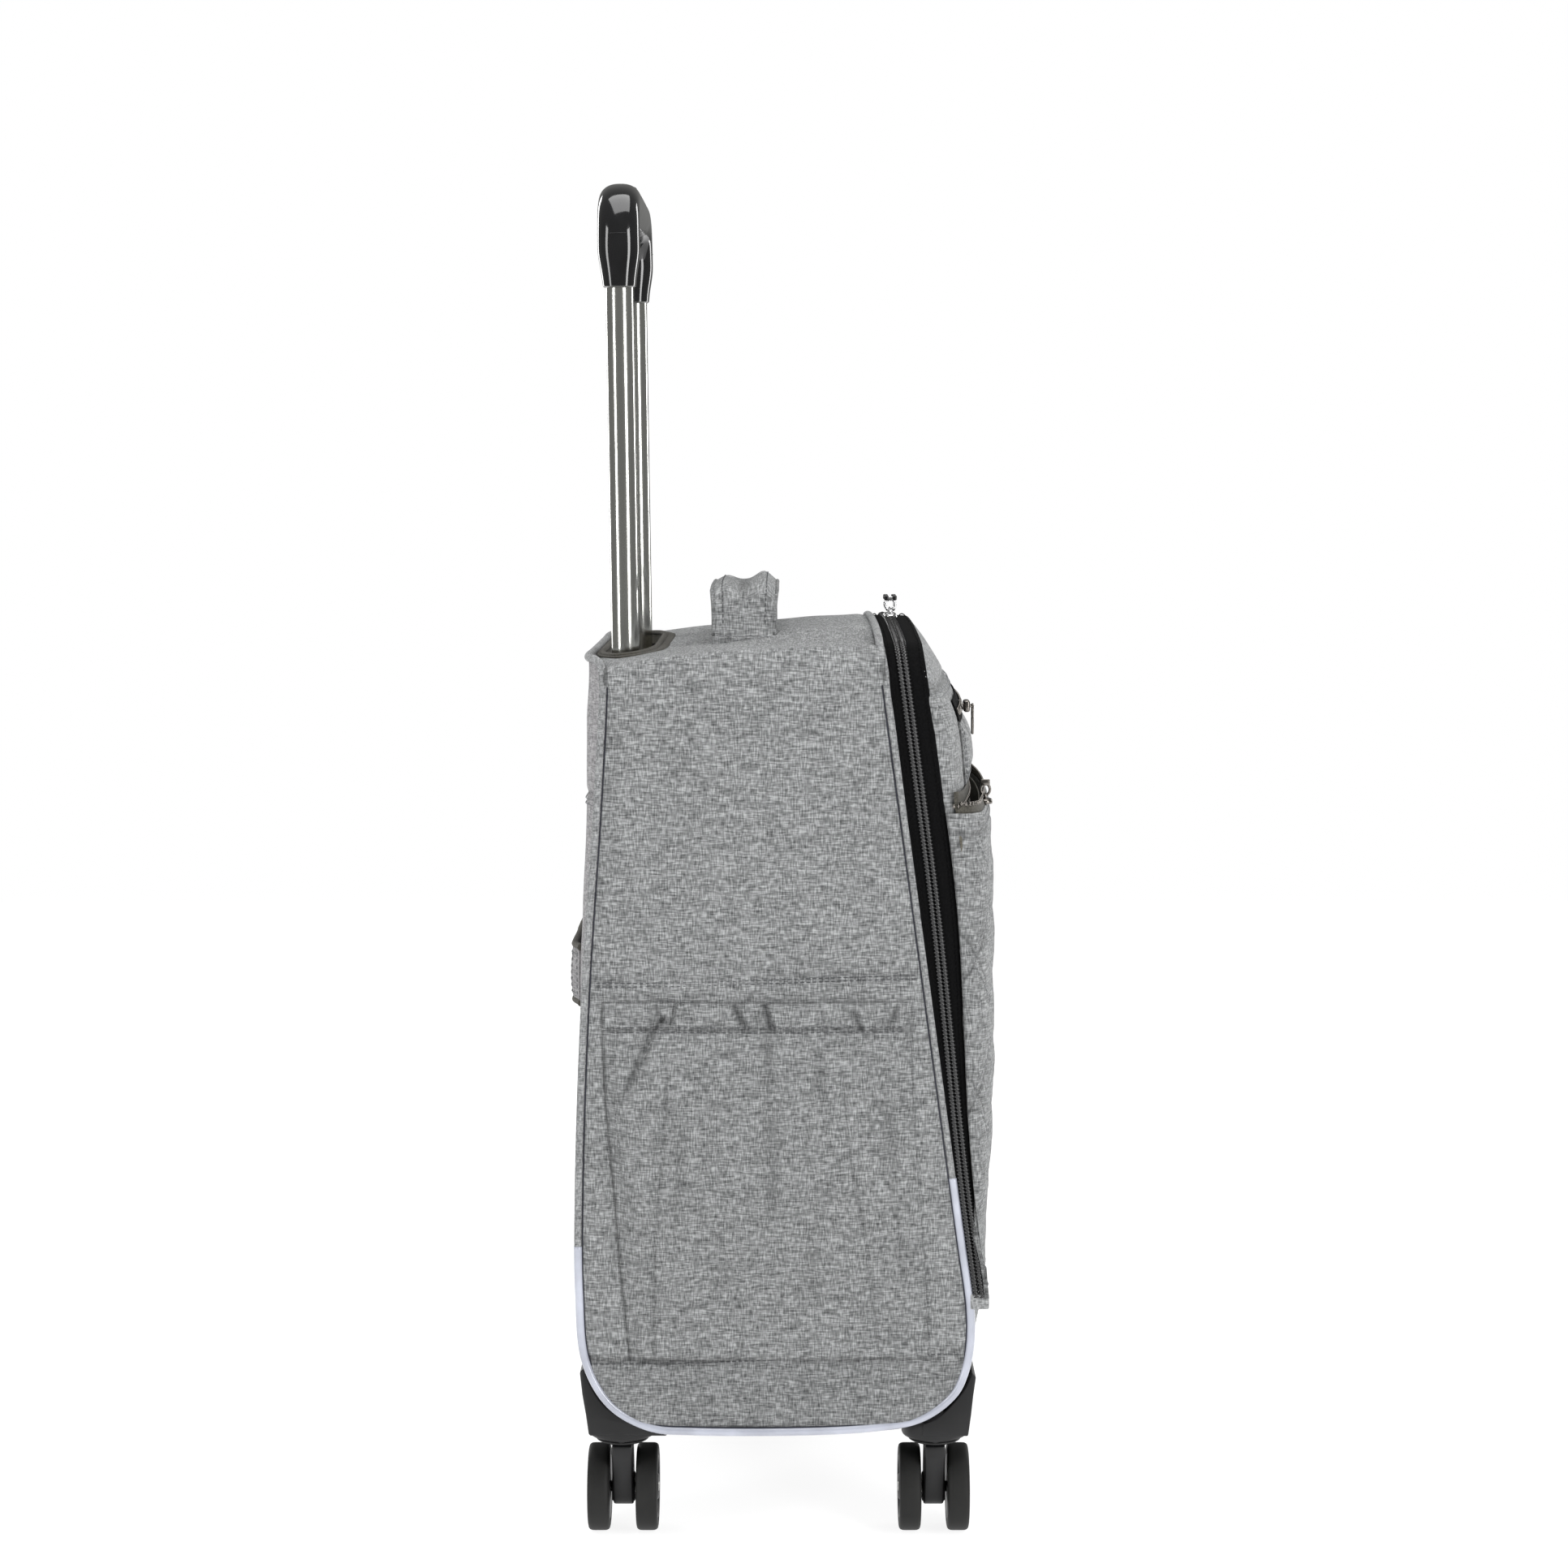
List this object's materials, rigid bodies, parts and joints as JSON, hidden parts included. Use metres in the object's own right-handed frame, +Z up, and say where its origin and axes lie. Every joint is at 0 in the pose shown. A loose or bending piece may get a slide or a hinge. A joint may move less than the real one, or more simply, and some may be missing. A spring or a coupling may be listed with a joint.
{
  "type": "softside upright suitcase",
  "caption": "Softside upright carry-on suitcase with zipped lid, pockets, telescopic trolley handle and twin-wheel swivel casters.",
  "frame": {"origin": "on the floor, under the middle of the whole part's box", "axes": "+Z up; +X across the width, towards the right side when standing behind the handle and looking forward; -Y towards the lid and pockets, +Y towards the trolley handle"},
  "size_m": [0.3596, 0.2515, 0.7756],
  "materials": {
    "woven_fabric": "matte",
    "lining": "matte",
    "piping": "gloss",
    "zipper_tape": "matte",
    "chrome": "polished",
    "gunmetal": "gloss",
    "polished_steel": "polished",
    "gloss_black": "gloss",
    "matte_black": "satin",
    "tyre": "matte"
  },
  "bodies": {
    "case": {"back_panel": "woven_fabric", "base_tray": "matte_black", "front_sill": "woven_fabric", "top_panel": "woven_fabric", "left_side_panel": "woven_fabric", "right_side_panel": "woven_fabric", "left_piping": "piping", "right_piping": "piping", "case_zipper_tape": "zipper_tape", "left_side_pocket": "woven_fabric", "right_side_pocket": "woven_fabric", "carry_handle": "woven_fabric", "trolley_sleeve_strap": "woven_fabric", "rear_grab_handle": "woven_fabric", "tube_cover": "lining", "left_tie_strap": "zipper_tape", "right_tie_strap": "zipper_tape", "tie_strap_buckle": "matte_black", "handle_well_tray": "matte_black", "well_zipper_lips": "zipper_tape", "left_outer_tube": "polished_steel", "right_outer_tube": "polished_steel", "tube_foot_bracket": "matte_black", "left_rear_caster_housing": "matte_black", "left_front_caster_housing": "matte_black", "right_rear_caster_housing": "matte_black", "right_front_caster_housing": "matte_black"},
    "handle_middle": {"left_middle_tube": "polished_steel", "right_middle_tube": "polished_steel"},
    "handle_upper": {"left_inner_tube": "polished_steel", "right_inner_tube": "polished_steel", "grip": "gloss_black"},
    "release": {"release_button": "gloss_black", "release_yoke": "polished_steel"},
    "lid": {"lid_shell": "woven_fabric", "lid_zipper_tape": "zipper_tape", "lower_pocket": "woven_fabric", "upper_pocket": "woven_fabric", "lid_mesh_divider": "lining"},
    "left_main_slider": {"left_main_slider": "chrome"},
    "left_main_pull": {"left_main_pull": "chrome"},
    "right_main_slider": {"right_main_slider": "chrome"},
    "right_main_pull": {"right_main_pull": "chrome"},
    "lower_pocket_slider": {"lower_pocket_slider": "gunmetal"},
    "lower_pocket_pull": {"lower_pocket_pull": "gunmetal"},
    "upper_pocket_slider": {"upper_pocket_slider": "gunmetal"},
    "left_rear_caster": {"left_rear_caster_fork": "matte_black"},
    "left_rear_wheel_a": {"left_rear_wheel_a": "tyre"},
    "left_rear_wheel_b": {"left_rear_wheel_b": "tyre"},
    "left_front_caster": {"left_front_caster_fork": "matte_black"},
    "left_front_wheel_a": {"left_front_wheel_a": "tyre"},
    "left_front_wheel_b": {"left_front_wheel_b": "tyre"},
    "right_rear_caster": {"right_rear_caster_fork": "matte_black"},
    "right_rear_wheel_a": {"right_rear_wheel_a": "tyre"},
    "right_rear_wheel_b": {"right_rear_wheel_b": "tyre"},
    "right_front_caster": {"right_front_caster_fork": "matte_black"},
    "right_front_wheel_a": {"right_front_wheel_a": "tyre"},
    "right_front_wheel_b": {"right_front_wheel_b": "tyre"}
  },
  "joints": [
    {"name": "middle_stage_slide", "type": "slide", "parent": "case", "child": "handle_middle", "axis": [0, 0.0121, 0.9999], "range_m": [0, 0.25]},
    {"name": "upper_stage_slide", "type": "slide", "parent": "handle_middle", "child": "handle_upper", "axis": [0, 0.0121, 0.9999], "range_m": [-0.25, 0]},
    {"name": "release_button_press", "type": "slide", "parent": "handle_upper", "child": "release", "axis": [0, -0.0121, -0.9999], "range_m": [0, 0.0035], "stiffness_N_per_m": 1200, "springref_m": -0.004},
    {"name": "lid_hinge", "type": "hinge", "parent": "case", "child": "lid", "pos_m": [0, -0.1195, 0.1447], "axis": [1, 0, 0], "range_deg": [0, 100]},
    {"name": "left_rear_swivel", "type": "hinge", "parent": "case", "child": "left_rear_caster", "pos_m": [-0.138, 0.0948, 0.058], "axis": [0, 0, 1], "continuous": true},
    {"name": "left_rear_wheel_a_roll", "type": "hinge", "parent": "left_rear_caster", "child": "left_rear_wheel_a", "pos_m": [-0.126, 0.0948, 0.025], "axis": [0, 1, 0], "continuous": true},
    {"name": "left_rear_wheel_b_roll", "type": "hinge", "parent": "left_rear_caster", "child": "left_rear_wheel_b", "pos_m": [-0.126, 0.0948, 0.025], "axis": [0, 1, 0], "continuous": true},
    {"name": "left_front_swivel", "type": "hinge", "parent": "case", "child": "left_front_caster", "pos_m": [-0.138, -0.0845, 0.058], "axis": [0, 0, 1], "continuous": true},
    {"name": "left_front_wheel_a_roll", "type": "hinge", "parent": "left_front_caster", "child": "left_front_wheel_a", "pos_m": [-0.126, -0.0845, 0.025], "axis": [0, 1, 0], "continuous": true},
    {"name": "left_front_wheel_b_roll", "type": "hinge", "parent": "left_front_caster", "child": "left_front_wheel_b", "pos_m": [-0.126, -0.0845, 0.025], "axis": [0, 1, 0], "continuous": true},
    {"name": "right_rear_swivel", "type": "hinge", "parent": "case", "child": "right_rear_caster", "pos_m": [0.138, 0.0948, 0.058], "axis": [0, 0, 1], "continuous": true},
    {"name": "right_rear_wheel_a_roll", "type": "hinge", "parent": "right_rear_caster", "child": "right_rear_wheel_a", "pos_m": [0.138, 0.0828, 0.025], "axis": [1, 0, 0], "continuous": true},
    {"name": "right_rear_wheel_b_roll", "type": "hinge", "parent": "right_rear_caster", "child": "right_rear_wheel_b", "pos_m": [0.138, 0.0828, 0.025], "axis": [1, 0, 0], "continuous": true},
    {"name": "right_front_swivel", "type": "hinge", "parent": "case", "child": "right_front_caster", "pos_m": [0.138, -0.0845, 0.058], "axis": [0, 0, 1], "continuous": true},
    {"name": "right_front_wheel_a_roll", "type": "hinge", "parent": "right_front_caster", "child": "right_front_wheel_a", "pos_m": [0.138, -0.0725, 0.025], "axis": [1, 0, 0], "continuous": true},
    {"name": "right_front_wheel_b_roll", "type": "hinge", "parent": "right_front_caster", "child": "right_front_wheel_b", "pos_m": [0.138, -0.0725, 0.025], "axis": [1, 0, 0], "continuous": true},
    {"name": "left_main_slider_slide", "type": "slide", "parent": "case", "child": "left_main_slider", "axis": [0.9999, 0, 0.015], "range_m": [-0.1, 0]},
    {"name": "left_main_pull_flip", "type": "hinge", "parent": "left_main_slider", "child": "left_main_pull", "pos_m": [-0.009, -0.06189, 0.5284], "axis": [0, 1, 0], "range_deg": [-85, 85]},
    {"name": "right_main_slider_slide", "type": "slide", "parent": "case", "child": "right_main_slider", "axis": [0.9999, 0, -0.015], "range_m": [0, 0.1]},
    {"name": "right_main_pull_flip", "type": "hinge", "parent": "right_main_slider", "child": "right_main_pull", "pos_m": [0.009, -0.06189, 0.5284], "axis": [0, 1, 0], "range_deg": [-85, 85]},
    {"name": "lower_pocket_slider_slide", "type": "slide", "parent": "lid", "child": "lower_pocket_slider", "axis": [1, 0, 0], "range_m": [0, 0.24]},
    {"name": "lower_pocket_pull_flip", "type": "hinge", "parent": "lower_pocket_slider", "child": "lower_pocket_pull", "pos_m": [-0.12, -0.1134, 0.4284], "axis": [0, 1, 0], "range_deg": [-85, 85]},
    {"name": "upper_pocket_slider_slide", "type": "slide", "parent": "lid", "child": "upper_pocket_slider", "axis": [1, 0, 0], "range_m": [0, 0.18]}
  ]
}
